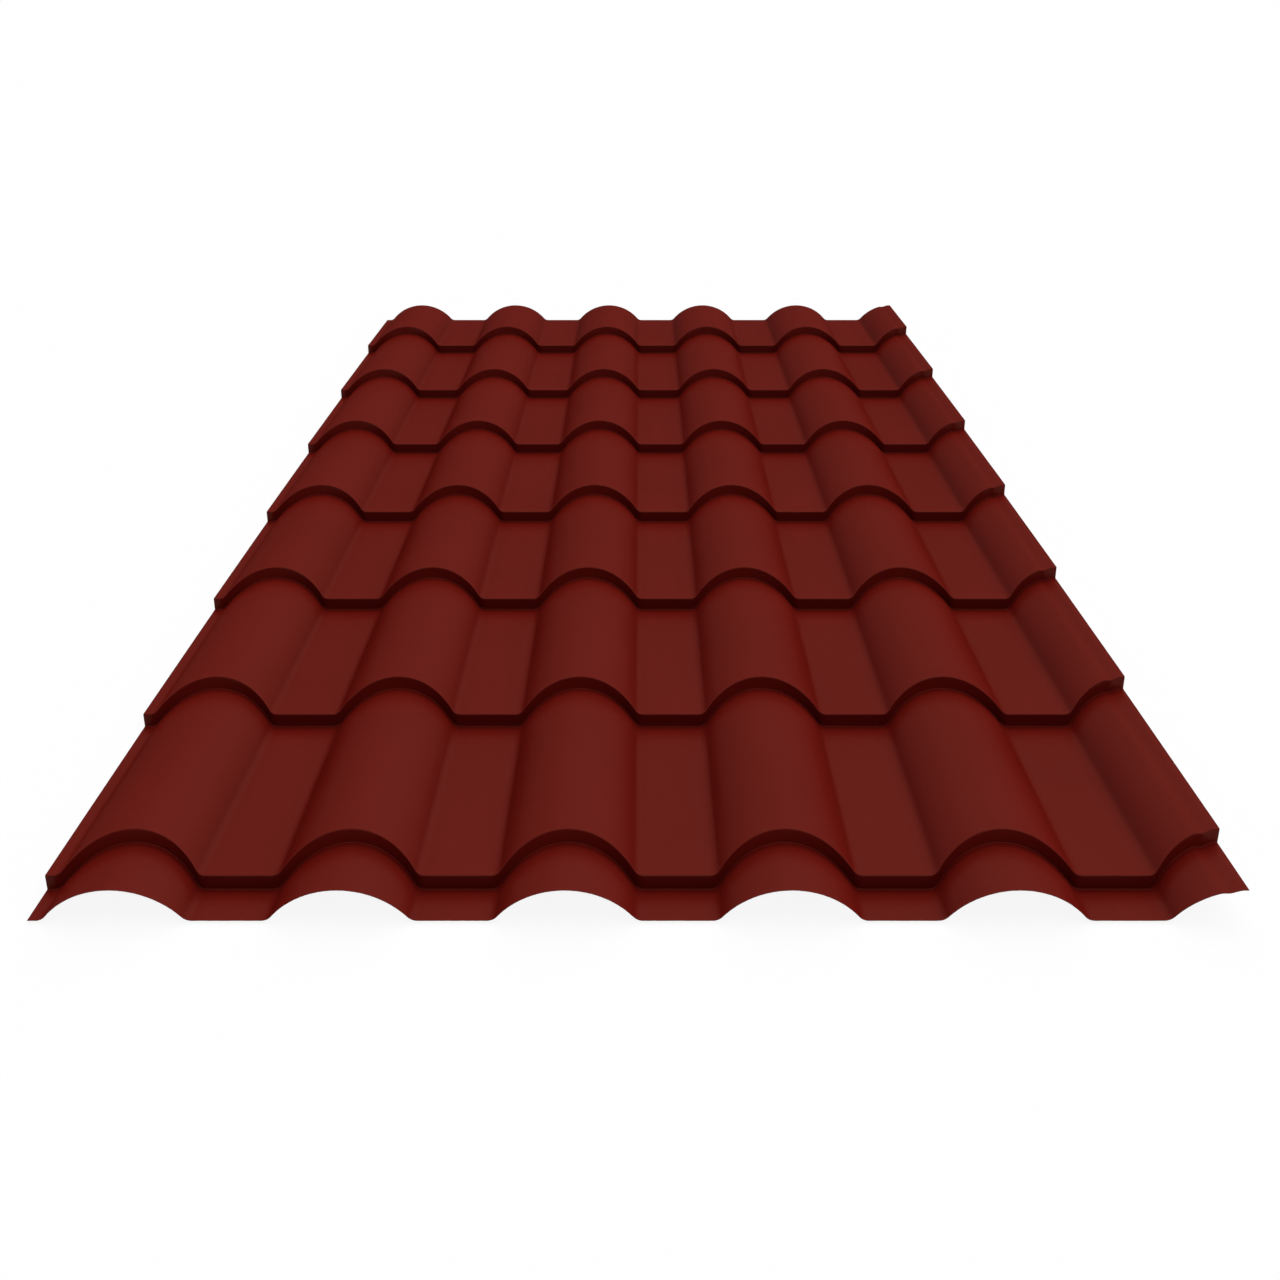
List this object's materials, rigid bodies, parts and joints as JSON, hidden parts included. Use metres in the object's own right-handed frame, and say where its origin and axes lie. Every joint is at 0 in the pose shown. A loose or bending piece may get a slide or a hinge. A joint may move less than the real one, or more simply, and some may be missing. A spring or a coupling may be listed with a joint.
{
  "type": "metal roof tile",
  "caption": "Stamped steel roofing sheet with arched waves, flat pans between them and a step at the foot of every tile course.",
  "frame": {"origin": "on the floor under the middle of the sheet, at the level its lowest riser feet stand on", "axes": "+X across the waves towards the edge with the grooved half wave, +Y up the roof from eaves to ridge, +Z out of the roof"},
  "size_m": [1.185, 2.45, 0.0504],
  "materials": {
    "coated_steel": "satin oxide red coating"
  },
  "bodies": {
    "root": {"tile_sheet": "coated_steel"}
  },
  "joints": []
}
